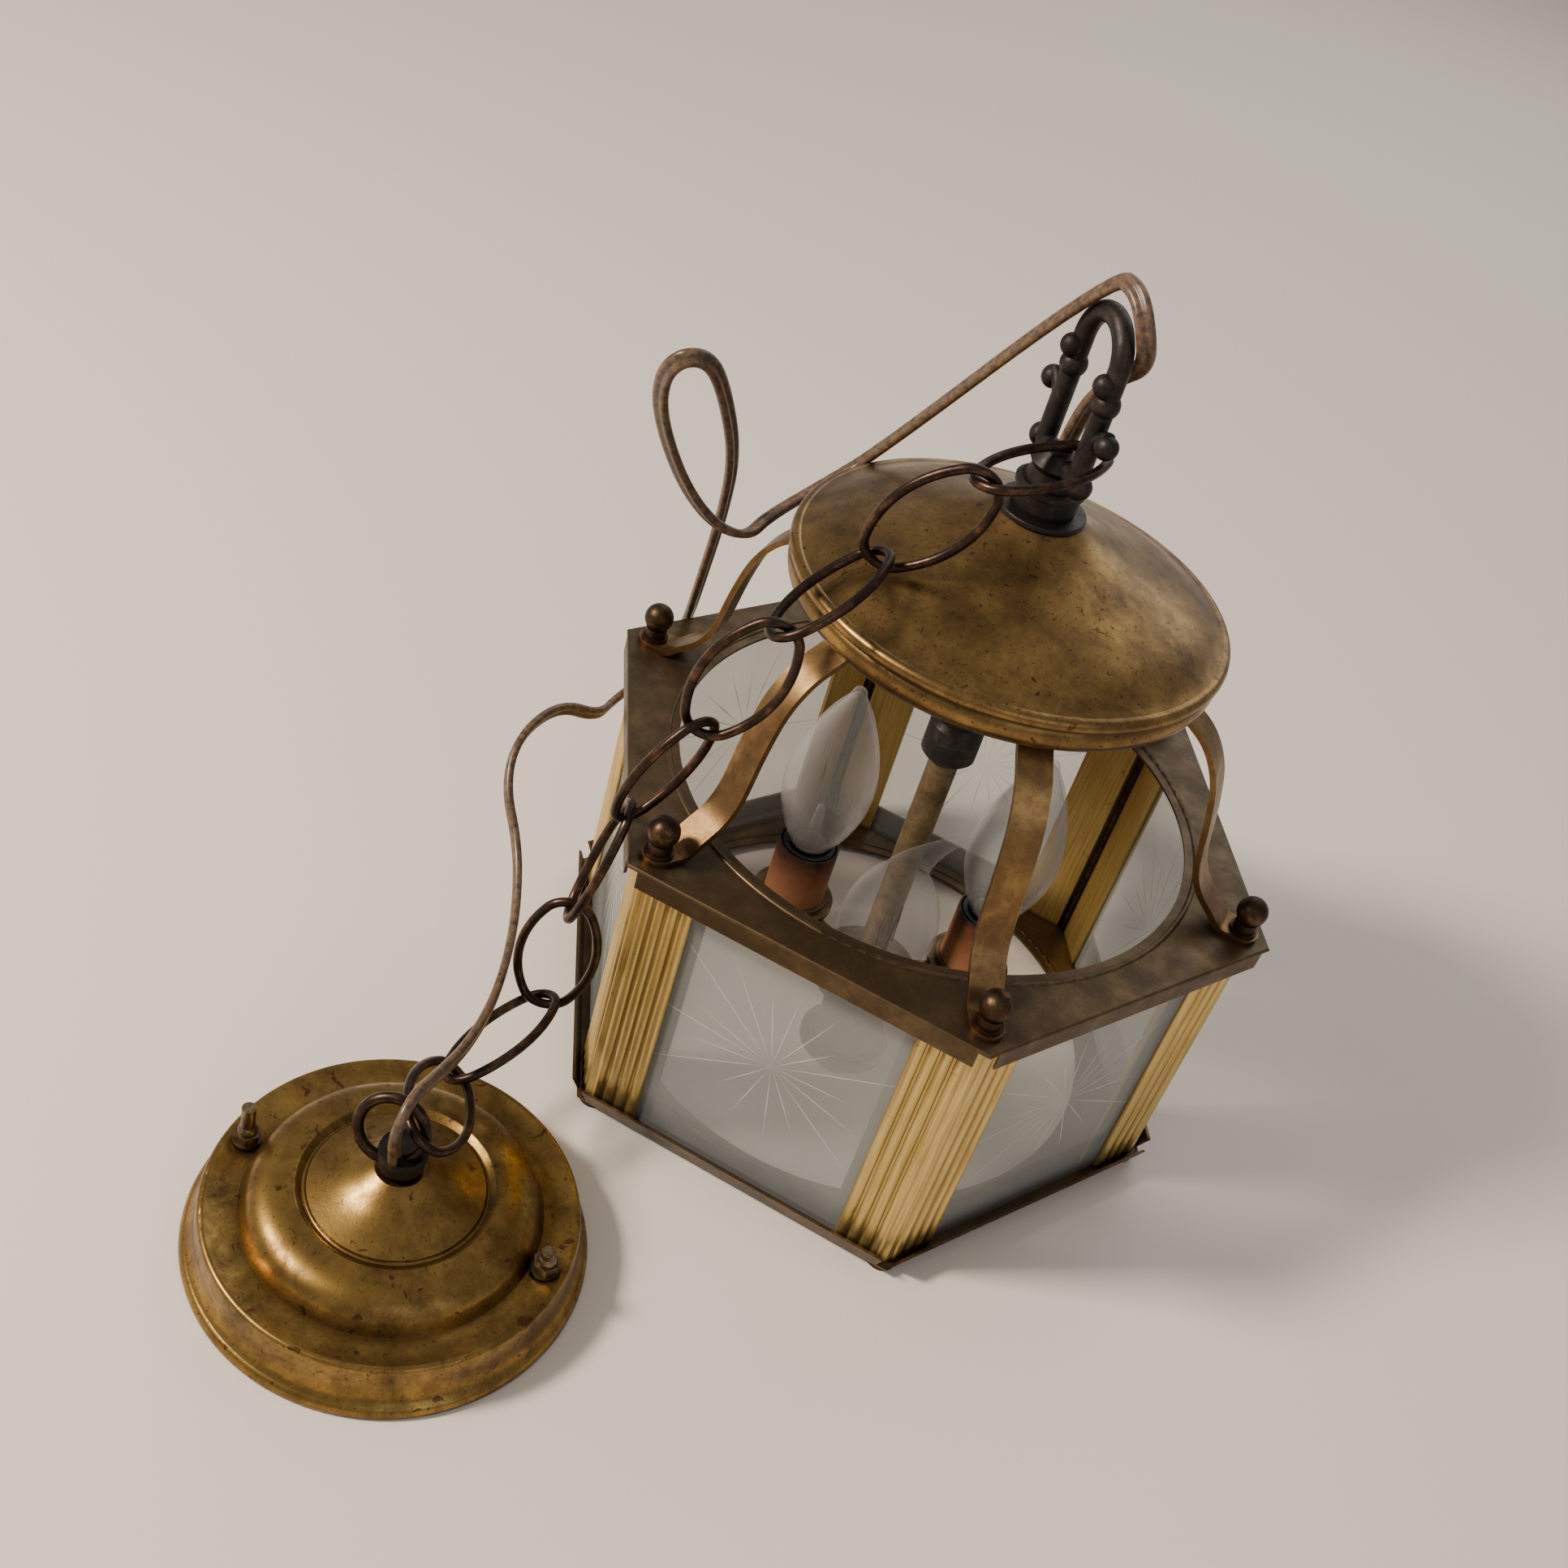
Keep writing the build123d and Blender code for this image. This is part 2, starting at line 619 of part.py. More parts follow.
# The third lamp has a tip drawn out and bent to one side.
tip_azimuth = CANDLE_AZIMUTHS[2]
tip_foot = Vector(CANDLE_PITCH_R * cos(radians(tip_azimuth)), CANDLE_PITCH_R * sin(radians(tip_azimuth)), 0)
TIP_LEAN = Vector(0.9, 0.44, 0)
with BuildPart() as bulb_glass_3:
    with BuildSketch(candle_plane(tip_azimuth)):
        with BuildLine():
            Spline(*bent_skin)
            Line(bent_skin[-1], (0, bent_skin[-1][1]))
            Line((0, bent_skin[-1][1]), (0, 51.0))
            Line((0, 51.0), bent_skin[0])
        make_face()
    revolve(axis=candle_axis(tip_azimuth))
    with BuildSketch(Plane(origin=tip_foot + Vector(0, 0, 100.0))):
        Circle(8.2)
    with BuildSketch(Plane(origin=tip_foot + TIP_LEAN * 1.6 + Vector(0, 0, 105.5), z_dir=TIP_LEAN * 0.45 + Vector(0, 0, 1))):
        Circle(5.4)
    with BuildSketch(Plane(origin=tip_foot + TIP_LEAN * 5.2 + Vector(0, 0, 111.0), z_dir=TIP_LEAN * 0.8 + Vector(0, 0, 1))):
        Circle(3.4)
    with BuildSketch(Plane(origin=tip_foot + TIP_LEAN * 10.4 + Vector(0, 0, 116.5), z_dir=TIP_LEAN * 0.8 + Vector(0, 0, 1))):
        Circle(1.9)
    loft()
    with Locations(tip_foot + TIP_LEAN * 10.6 + Vector(0, 0, 116.7)):
        Sphere(2.0)
bulb_glass_3.part.label = "bulb_glass_3"
export_step(bulb_glass_3.part, "parts/bulb_glass_3.step")

# ---------------------------------------------------------------- chain
# Each link is an oval of round wire: two tight end arcs joined by two long side arcs.
side_r = (LINK_HALF_L**2 - 2 * LINK_HALF_L * LINK_END_R + LINK_HALF_W**2) / (2 * (LINK_HALF_W - LINK_END_R))
turn = atan2(side_r - LINK_HALF_W, LINK_HALF_L - LINK_END_R)
join = (LINK_HALF_L - LINK_END_R + LINK_END_R * cos(turn), LINK_END_R * sin(turn))


def link_plane(start, end, twist):
    """Plane whose x runs along the link and whose y crosses it."""
    along = (Vector(*end) - Vector(*start)).normalized()
    level = Vector(0, 0, 1).cross(along).normalized()
    upward = along.cross(level)
    across = level * cos(radians(twist)) + upward * sin(radians(twist))
    centre = (Vector(*start) + Vector(*end)) * 0.5
    return Plane(origin=centre, x_dir=along, z_dir=along.cross(across))


for n, twist in enumerate(TWISTS, start=1):
    oval = link_plane(BENDS[n - 1], BENDS[n], twist)
    with BuildPart() as chain_link:
        with BuildLine(oval):
            ThreePointArc((join[0], -join[1]), (LINK_HALF_L, 0), join)
            ThreePointArc(join, (0, LINK_HALF_W), (-join[0], join[1]))
            ThreePointArc((-join[0], join[1]), (-LINK_HALF_L, 0), (-join[0], -join[1]))
            ThreePointArc((-join[0], -join[1]), (0, -LINK_HALF_W), (join[0], -join[1]))
        with BuildSketch(Plane(origin=oval.from_local_coords((0, LINK_HALF_W, 0)), z_dir=oval.x_dir)):
            Circle(LINK_WIRE_R)
        sweep()
    chain_link.part.label = f"chain_link_{n}"
    export_step(chain_link.part, f"parts/chain_link_{n}.step")

# ---------------------------------------------------------------- canopy
canopy_side = Plane(origin=(CANOPY_X, CANOPY_Y, 0), x_dir=(1, 0, 0), z_dir=(0, -1, 0))
canopy_axis = Axis((CANOPY_X, CANOPY_Y, 0), (0, 0, 1))
ring_plane = Plane(origin=(-79.3, -177.2, 48.4), x_dir=(0.966, 0.259, 0.0), z_dir=(0.243, -0.908, 0.342))

# Spun ceiling canopy lying rim down: rim bead, coved wall, dished ledge, round step,
# groove and a trumpet cone.
with BuildPart() as canopy_shell:
    with BuildSketch(canopy_side):
        with BuildLine():
            Line((58.0, 0), (58.9, 0))
            ThreePointArc((58.9, 0), (59.1, 2.2), (57.7, 4.0))
            Spline((57.7, 4.0), (56.2, 6.0), (55.4, 9.5), (55.2, 13.0), (54.9, 15.4))
            ThreePointArc((54.9, 15.4), (54.3, 16.7), (53.0, 16.9))
            Spline((53.0, 16.9), (48.8, 15.9), (43.9, 15.6))
            Spline((43.9, 15.6), (43.2, 17.0), (42.0, 20.2), (39.1, 23.6), (33.9, 25.6), (29.3, 25.9))
            Spline((29.3, 25.9), (27.5, 24.9), (26.6, 24.3), (25.5, 25.2))
            Spline((25.5, 25.2), (20.5, 26.9), (14.9, 29.3), (11.0, 31.8), (7.4, 34.2))
            Line((7.4, 34.2), (4.2, 34.2))
            Line((4.2, 34.2), (4.2, 33.2))
            Line((4.2, 33.2), (7.0, 33.2))
            Spline((7.0, 33.2), (10.6, 30.9), (14.5, 28.4), (20.1, 26.0), (25.1, 24.2))
            Spline((25.1, 24.2), (26.6, 23.2), (28.1, 24.0), (29.6, 24.9))
            Spline((29.6, 24.9), (33.7, 24.6), (38.4, 22.8), (41.1, 19.8), (42.2, 16.6), (43.2, 14.6))
            Spline((43.2, 14.6), (48.7, 14.9), (52.8, 15.8))
            Line((52.8, 15.8), (53.9, 14.8))
            Spline((53.9, 14.8), (54.3, 9.5), (55.2, 5.4), (56.9, 3.2))
            Line((56.9, 3.2), (58.0, 0))
        make_face()
    revolve(axis=canopy_axis)
canopy_shell.part.label = "canopy_shell"
export_step(canopy_shell.part, "parts/canopy_shell.step")

with BuildPart() as canopy_loop:
    with BuildLine(ring_plane) as ring_run:
        CenterArc((0, 0), RING_R, 0, 360)
    with BuildSketch(Plane(origin=ring_run.line @ 0, z_dir=ring_run.line % 0)):
        Circle(RING_WIRE_R)
    sweep()
canopy_loop.part.label = "canopy_loop"
export_step(canopy_loop.part, "parts/canopy_loop.step")

with BuildPart() as canopy_collar:
    with BuildSketch(canopy_side):
        with BuildLine():
            Polyline((0, 34.2), (5.2, 34.2), (6.8, 36.4), (7.3, 40.5), (6.9, 42.5), (0, 42.5), close=True)
        make_face()
    revolve(axis=canopy_axis)
    with BuildLine(ring_plane) as eye_run:
        CenterArc((0, 0), RING_R, 0, 360)
    with BuildSketch(Plane(origin=eye_run.line @ 0, z_dir=eye_run.line % 0)):
        Circle(RING_WIRE_R + 0.05)
    sweep(mode=Mode.SUBTRACT)
canopy_collar.part.label = "canopy_collar"
export_step(canopy_collar.part, "parts/canopy_collar.step")

# Two machine screws on the ledge, each with a washer, a hex nut and a domed nut.
SCREW_R = 48.0
SCREW_TURN = 8.0
LEDGE_Z = 16.6
screw_spots = [
    (CANOPY_X + SCREW_R * cos(radians(SCREW_TURN)), CANOPY_Y + SCREW_R * sin(radians(SCREW_TURN))),
    (CANOPY_X - SCREW_R * cos(radians(SCREW_TURN)), CANOPY_Y - SCREW_R * sin(radians(SCREW_TURN))),
]
with BuildPart() as canopy_screws:
    for spot, tip_z in zip(screw_spots, (25.0, 31.0)):
        with BuildSketch(Plane.XY.offset(LEDGE_Z)):
            with Locations(spot):
                Circle(2.1)
        extrude(amount=tip_z - LEDGE_Z)
        with BuildSketch(Plane.XY.offset(LEDGE_Z)):
            with Locations(spot):
                Circle(4.1)
        extrude(amount=0.8)
        with BuildSketch(Plane.XY.offset(LEDGE_Z + 0.8)):
            with Locations(spot):
                RegularPolygon(radius=4.0, side_count=6)
        extrude(amount=3.2)
        with Locations((spot[0], spot[1], LEDGE_Z + 4.4)):
            Sphere(2.9)
canopy_screws.part.label = "canopy_screws"
export_step(canopy_screws.part, "parts/canopy_screws.step")

cord_turns = []
for before, at, after in zip(CORD_ROUTE, CORD_ROUTE[1:], CORD_ROUTE[2:]):
    first = Vector(*at) - Vector(*before)
    second = Vector(*after) - Vector(*at)
    bend = radians(first.get_angle(second))
    cord_turns.append(0.45 * min(first.length, second.length) / tan(bend / 2))
print("cord radii", [round(r, 1) for r in cord_turns])

with BuildPart() as power_cord:
    with BuildLine() as cord_run:
        FilletPolyline(*CORD_ROUTE, radius=cord_turns)
    with BuildSketch(Plane(origin=cord_run.line @ 0, z_dir=cord_run.line % 0)):
        Circle(CORD_R)
    sweep()
power_cord.part.label = "power_cord"
export_step(power_cord.part, "parts/power_cord.step")
cord_length = sum(edge.length for edge in cord_run.line.edges())
print("cord length", round(cord_length, 1))
print("cord volume", round(power_cord.part.volume), "section x length", round(pi * CORD_R**2 * cord_length))
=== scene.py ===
"""Finishes, small pieces, floor, lights and camera for a hanging hexagonal hall lantern."""
import logging
import math
from dataclasses import dataclass, field
from enum import Enum

import bmesh
import bpy
from mathutils import Matrix, Vector


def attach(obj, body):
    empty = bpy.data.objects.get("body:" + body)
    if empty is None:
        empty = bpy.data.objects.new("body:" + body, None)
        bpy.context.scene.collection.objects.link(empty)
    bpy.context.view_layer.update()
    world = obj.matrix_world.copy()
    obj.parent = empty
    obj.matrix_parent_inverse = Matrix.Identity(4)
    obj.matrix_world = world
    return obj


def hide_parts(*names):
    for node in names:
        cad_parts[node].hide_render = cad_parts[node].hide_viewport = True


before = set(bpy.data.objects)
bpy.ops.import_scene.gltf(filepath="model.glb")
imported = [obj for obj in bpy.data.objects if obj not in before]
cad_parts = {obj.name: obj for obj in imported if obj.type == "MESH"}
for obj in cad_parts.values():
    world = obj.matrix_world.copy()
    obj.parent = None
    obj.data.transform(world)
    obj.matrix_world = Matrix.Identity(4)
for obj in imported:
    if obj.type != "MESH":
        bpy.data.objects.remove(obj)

LOG = logging.getLogger("hall_lantern")
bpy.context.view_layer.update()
MM = 0.001
SIDES = 6
SIDE_TURN = 360 // SIDES
MIX_COLOUR = 2  # the colour output of a Mix node, after its float and vector outputs

# The cord's control points in metres: up through the loop's foot, over the loop, down behind the
# crown, round the slack bight, past a corner of the frame and along the chain to the canopy.
CORD_ROUTE = [
    (0.0, 0.0, 0.234), (0.0004, 0.0004, 0.246), (0.0054, 0.0015, 0.258),
    (0.0136, -0.0039, 0.267), (0.0102, -0.0096, 0.2795), (0.0036, -0.0042, 0.2862),
    (-0.0046, 0.0022, 0.285), (-0.0615, 0.0355, 0.19), (-0.072, 0.024, 0.178),
    (-0.08, 0.0, 0.172), (-0.0805, -0.012, 0.1695), (-0.0905, -0.0185, 0.173),
    (-0.1002, -0.0273, 0.188), (-0.1061, -0.0395, 0.212), (-0.1045, -0.047, 0.228),
    (-0.099, -0.0485, 0.2365), (-0.0935, -0.0425, 0.236), (-0.0907, -0.0333, 0.224),
    (-0.0899, -0.0145, 0.196), (-0.0942, -0.0005, 0.166), (-0.1005, 0.0118, 0.13),
    (-0.1082, 0.0294, 0.1), (-0.1125, 0.023, 0.082), (-0.119, 0.006, 0.073),
    (-0.1175, -0.008, 0.075), (-0.1265, -0.021, 0.083), (-0.1286, -0.043, 0.082),
    (-0.1234, -0.0575, 0.073), (-0.11, -0.067, 0.06), (-0.0985, -0.0835, 0.0525),
    (-0.0895, -0.102, 0.049), (-0.083, -0.121, 0.0475), (-0.0795, -0.14, 0.0485),
    (-0.078, -0.158, 0.054), (-0.0754, -0.1755, 0.064), (-0.0746, -0.1835, 0.057),
    (-0.0745, -0.1828, 0.049), (-0.0746, -0.1815, 0.043),
]


# ------------------------------------------------------------------ small helpers
def linear(code: str) -> tuple[float, float, float, float]:
    """Turns an sRGB hex colour into linear RGBA.

    Args:
        code: a colour such as "#8a7040".

    Returns:
        Red, green, blue and an alpha of 1.
    """
    parts = []
    for start in (1, 3, 5):
        value = int(code[start:start + 2], 16) / 255
        parts.append(value / 12.92 if value <= 0.04045 else ((value + 0.055) / 1.055) ** 2.4)
    return (parts[0], parts[1], parts[2], 1.0)


def per_mm(size_mm: float) -> float:
    """Noise scale, per metre, whose features are size_mm across."""
    return 1.0 / (size_mm * MM)


def add_node(
    tree: bpy.types.NodeTree,
    kind: str,
    values: dict | None = None,
    links: dict | None = None,
    stops: list[tuple[float, str]] | None = None,
    **settings: object,
) -> bpy.types.Node:
    """Adds one shader node with its settings, values, ramp stops and incoming links.

    Args:
        tree: the material's node tree.
        kind: the node's Blender type.
        values: input name or index to its value.
        links: input name or index to the output that feeds it.
        stops: positions and colours of a colour ramp.
        settings: attributes of the node.

    Returns:
        The new node.
    """
    made = tree.nodes.new(kind)
    for name, setting in settings.items():
        setattr(made, name, setting)
    for key, value in (values or {}).items():
        made.inputs[key].default_value = value
    for key, source in (links or {}).items():
        tree.links.new(source, made.inputs[key])
    if stops:
        ramp = made.color_ramp
        while len(ramp.elements) < len(stops):
            ramp.elements.new(0.5)
        for element, (place, code) in zip(ramp.elements, stops):
            element.position = place
            element.color = linear(code)
    return made


def new_material(name: str) -> tuple[bpy.types.Material, bpy.types.NodeTree, bpy.types.Node]:
    """Starts an empty material with its output and a principled shader.

    Args:
        name: the finish's name.

    Returns:
        The material, its tree and the shader.
    """
    material = bpy.data.materials.new(name)
    material.use_nodes = True
    tree = material.node_tree
    tree.nodes.clear()
    shader = add_node(tree, "ShaderNodeBsdfPrincipled")
    add_node(tree, "ShaderNodeOutputMaterial", links={"Surface": shader.outputs[0]})
    return material, tree, shader


# ------------------------------------------------------------------ finishes
@dataclass(frozen=True)
class AgedBrass:
    """Brass sheet, wire or casting with brown patina, tarnish specks, rubbed edges and painted
    shade in its hollows.

    Large soft patches come from handling, specks from moisture, and the edges are rubbed bright.
    """

    name: str
    dark: str
    mid: str
    bright: str
    patch_mm: float = 16.0
    speck_mm: float = 1.6
    speck_amount: float = 0.5
    wear: float = 0.6
    wear_mm: float = 0.9
    rough_low: float = 0.26
    rough_high: float = 0.52
    metal: float = 0.95
    bump_mm: float = 0.05
    # colour of the tarnish specks, and also of the painted shade laid into hollows and creases
    stain_and_shade: str = "#3b2a1c"
    flake_mm: float = 0.0

    def build(self) -> bpy.types.Material:
        """Makes the material and returns it."""
        material, tree, shader = new_material(self.name)
        place = add_node(tree, "ShaderNodeTexCoord").outputs["Object"]
        patches = add_node(
            tree, "ShaderNodeTexNoise",
            {"Scale": per_mm(self.patch_mm), "Detail": 11.0, "Roughness": 0.74, "Distortion": 0.2},
            {"Vector": place},
        )
        tone = add_node(
            tree, "ShaderNodeValToRGB", links={0: patches.outputs[0]},
            stops=[(0.32, self.dark), (0.5, self.mid), (0.7, self.bright)],
        )
        grain = add_node(
            tree, "ShaderNodeTexNoise",
            {"Scale": per_mm(self.speck_mm), "Detail": 4.0, "Roughness": 0.7}, {"Vector": place},
        )
        speck = add_node(
            tree, "ShaderNodeMapRange",
            {"From Min": 0.60, "From Max": 0.68, "To Min": 0.0, "To Max": self.speck_amount},
            {0: grain.outputs[0]},
        )
        spotted = add_node(
            tree, "ShaderNodeMix", {"B": linear(self.stain_and_shade)},
            {"Factor": speck.outputs[0], "A": tone.outputs[0]}, data_type="RGBA",
        )
        if self.flake_mm:
            flakes = add_node(
                tree, "ShaderNodeTexNoise",
                {
                    "Scale": per_mm(self.flake_mm), "Detail": 3.0, "Roughness": 0.5,
                    "Distortion": 0.6,
                },
                {"Vector": place},
            )
            flake = add_node(
                tree, "ShaderNodeMapRange",
                {"From Min": 0.655, "From Max": 0.675, "To Min": 0.0, "To Max": 0.8},
                {0: flakes.outputs[0]},
            )
            spotted = add_node(
                tree, "ShaderNodeMix", {"B": linear("#4a2c1d")},
                {"Factor": flake.outputs[0], "A": spotted.outputs[MIX_COLOUR]}, data_type="RGBA",
            )
        # Painted shade: ambient occlusion darkens hollows, creases and the gaps between parts
        # towards the stain colour.
        hollow = add_node(tree, "ShaderNodeAmbientOcclusion", {"Distance": 3.0 * MM}, samples=6)
        shaded = add_node(
            tree, "ShaderNodeMapRange",
            {"From Min": 0.35, "From Max": 0.95, "To Min": 0.85, "To Max": 0.0},
            {0: hollow.outputs["AO"]},
        )
        painted_shade_tone = add_node(
            tree, "ShaderNodeMix", {"B": linear(self.stain_and_shade)},
            {"Factor": shaded.outputs[0], "A": spotted.outputs[MIX_COLOUR]}, data_type="RGBA",
        )
        soft = add_node(tree, "ShaderNodeBevel", {"Radius": self.wear_mm * MM}, samples=4)
        flat = add_node(tree, "ShaderNodeNewGeometry")
        turn = add_node(
            tree, "ShaderNodeVectorMath", links={0: soft.outputs[0], 1: flat.outputs["Normal"]},
            operation="DOT_PRODUCT",
        )
        edge = add_node(
            tree, "ShaderNodeMapRange",
            {"From Min": 0.995, "From Max": 0.86, "To Min": 0.0, "To Max": self.wear},
            {0: turn.outputs["Value"]},
        )
        rubbed = add_node(
            tree, "ShaderNodeMath", links={0: edge.outputs[0], 1: patches.outputs[0]},
            operation="MULTIPLY",
        )
        worn = add_node(
            tree, "ShaderNodeMix", {"B": linear(self.bright)},
            {"Factor": rubbed.outputs[0], "A": painted_shade_tone.outputs[MIX_COLOUR]},
            data_type="RGBA",
        )
        tree.links.new(worn.outputs[MIX_COLOUR], shader.inputs["Base Color"])
        rough = add_node(
            tree, "ShaderNodeMapRange",
            {"From Min": 0.3, "From Max": 0.7, "To Min": self.rough_high, "To Max": self.rough_low},
            {0: patches.outputs[0]},
        )
        tree.links.new(rough.outputs[0], shader.inputs["Roughness"])
        shader.inputs["Metallic"].default_value = self.metal
        bump = add_node(
            tree, "ShaderNodeBump", {"Strength": 0.6, "Distance": self.bump_mm * MM},
            {"Height": grain.outputs[0]},
        )
        tree.links.new(bump.outputs[0], shader.inputs["Normal"])
        return material


@dataclass(frozen=True)
class BrightStrip:
    """Rolled reeded brass, lacquered once, with fine lines drawn along it, small dark nicks and
    painted shade in its grooves.
    """

    name: str
    deep: str
    light: str

    def build(self) -> bpy.types.Material:
        """Makes the material and returns it."""
        material, tree, shader = new_material(self.name)
        place = add_node(tree, "ShaderNodeTexCoord").outputs["Object"]
        drawn = add_node(tree, "ShaderNodeMapping", {"Scale": (1.0, 1.0, 0.04)}, {"Vector": place})
        lines = add_node(
            tree, "ShaderNodeTexNoise", {"Scale": per_mm(0.9), "Detail": 3.0, "Roughness": 0.6},
            {"Vector": drawn.outputs[0]},
        )
        tone = add_node(
            tree, "ShaderNodeValToRGB", links={0: lines.outputs[0]},
            stops=[(0.3, self.deep), (0.62, self.light)],
        )
        nicks = add_node(
            tree, "ShaderNodeTexNoise", {"Scale": per_mm(3.0), "Detail": 5.0, "Roughness": 0.75},
            {"Vector": place},
        )
        nick = add_node(
            tree, "ShaderNodeMapRange",
            {"From Min": 0.62, "From Max": 0.70, "To Min": 0.0, "To Max": 0.55},
            {0: nicks.outputs[0]},
        )
        spotted = add_node(
            tree, "ShaderNodeMix", {"B": linear("#4a3820")},
            {"Factor": nick.outputs[0], "A": tone.outputs[0]}, data_type="RGBA",
        )
        # Painted shade: ambient occlusion darkens the reeding's grooves towards #57401f; the result
        # still carries the name spotted.
        groove = add_node(tree, "ShaderNodeAmbientOcclusion", {"Distance": 2.5 * MM}, samples=8)
        depth = add_node(
            tree, "ShaderNodeMapRange",
            {"From Min": 0.45, "From Max": 0.9, "To Min": 0.9, "To Max": 0.0},
            {0: groove.outputs["AO"]},
        )
        spotted = add_node(
            tree, "ShaderNodeMix", {"B": linear("#57401f")},
            {"Factor": depth.outputs[0], "A": spotted.outputs[MIX_COLOUR]},
            data_type="RGBA",
        )
        tree.links.new(spotted.outputs[MIX_COLOUR], shader.inputs["Base Color"])
        shader.inputs["Metallic"].default_value = 0.8
        shader.inputs["Roughness"].default_value = 0.36
        bump = add_node(
            tree, "ShaderNodeBump", {"Strength": 0.35, "Distance": 0.03 * MM},
            {"Height": lines.outputs[0]},
        )
        tree.links.new(bump.outputs[0], shader.inputs["Normal"])
        return material


@dataclass(frozen=True)
class HazyGlass:
    """Soda glass seen through a film of dust: clear face on, brighter and duller at a slant."""

    name: str
    tint: str
    face_on: float
    slanted: float
    roughness: float
    dust_mm: float = 9.0
    dust: float = 0.0

    def build(self) -> bpy.types.Material:
        """Makes the material and returns it."""
        material, tree, shader = new_material(self.name)
        place = add_node(tree, "ShaderNodeTexCoord").outputs["Object"]
        slant = add_node(tree, "ShaderNodeLayerWeight", {"Blend": 0.35})
        film = add_node(
            tree, "ShaderNodeTexNoise",
            {"Scale": per_mm(self.dust_mm), "Detail": 5.0, "Roughness": 0.65}, {"Vector": place},
        )
        cover = add_node(
            tree, "ShaderNodeMapRange", {"To Min": self.face_on, "To Max": self.slanted},
            {0: slant.outputs["Facing"]},
        )
        dusty = add_node(
            tree, "ShaderNodeMath", {1: self.dust}, {0: film.outputs[0], 2: cover.outputs[0]},
            operation="MULTIPLY_ADD",
        )
        tree.links.new(dusty.outputs[0], shader.inputs["Alpha"])
        shader.inputs["Base Color"].default_value = linear(self.tint)
        shader.inputs["Roughness"].default_value = self.roughness
        shader.inputs["IOR"].default_value = 1.5
        shader.inputs["Transmission Weight"].default_value = 0.0
        return material


@dataclass(frozen=True)
class ScorchedCard:
    """Card tube in candle brown whose top end has been browned by the lamp's heat."""

    name: str
    low_z: float
    high_z: float

    def build(self) -> bpy.types.Material:
        """Makes the material and returns it."""
        material, tree, shader = new_material(self.name)
        place = add_node(tree, "ShaderNodeTexCoord").outputs["Object"]
        height = add_node(tree, "ShaderNodeSeparateXYZ", links={0: place})
        mottle = add_node(
            tree, "ShaderNodeTexNoise", {"Scale": per_mm(5.0), "Detail": 4.0}, {"Vector": place},
        )
        wander = add_node(
            tree, "ShaderNodeMath", {1: 0.012}, {0: mottle.outputs[0], 2: height.outputs[2]},
            operation="MULTIPLY_ADD",
        )
        share = add_node(
            tree, "ShaderNodeMapRange",
            {"From Min": self.low_z + 0.006, "From Max": self.high_z + 0.006},
            {0: wander.outputs[0]},
        )
        tone = add_node(
            tree, "ShaderNodeValToRGB", links={0: share.outputs[0]},
            stops=[(0.0, "#a87450"), (0.45, "#96603f"), (0.78, "#6e4029"), (1.0, "#2e1b13")],
        )
        tree.links.new(tone.outputs[0], shader.inputs["Base Color"])
        shader.inputs["Roughness"].default_value = 0.62
        bump = add_node(
            tree, "ShaderNodeBump", {"Strength": 0.3, "Distance": 0.05 * MM},
            {"Height": mottle.outputs[0]},
        )
        tree.links.new(bump.outputs[0], shader.inputs["Normal"])
        return material


@dataclass(frozen=True)
class MouldedPlastic:
    """Phenolic or PVC moulding: even colour with a fine mould texture."""

    name: str
    low: str
    high: str
    grain_mm: float
    roughness: float

    def build(self) -> bpy.types.Material:
        """Makes the material and returns it."""
        material, tree, shader = new_material(self.name)
        place = add_node(tree, "ShaderNodeTexCoord").outputs["Object"]
        grain = add_node(
            tree, "ShaderNodeTexNoise",
            {"Scale": per_mm(self.grain_mm), "Detail": 5.0, "Roughness": 0.65}, {"Vector": place},
        )
        tone = add_node(
            tree, "ShaderNodeValToRGB", links={0: grain.outputs[0]},
            stops=[(0.35, self.low), (0.68, self.high)],
        )
        tree.links.new(tone.outputs[0], shader.inputs["Base Color"])
        shader.inputs["Roughness"].default_value = self.roughness
        bump = add_node(
            tree, "ShaderNodeBump", {"Strength": 0.4, "Distance": 0.04 * MM},
            {"Height": grain.outputs[0]},
        )
        tree.links.new(bump.outputs[0], shader.inputs["Normal"])
        return material


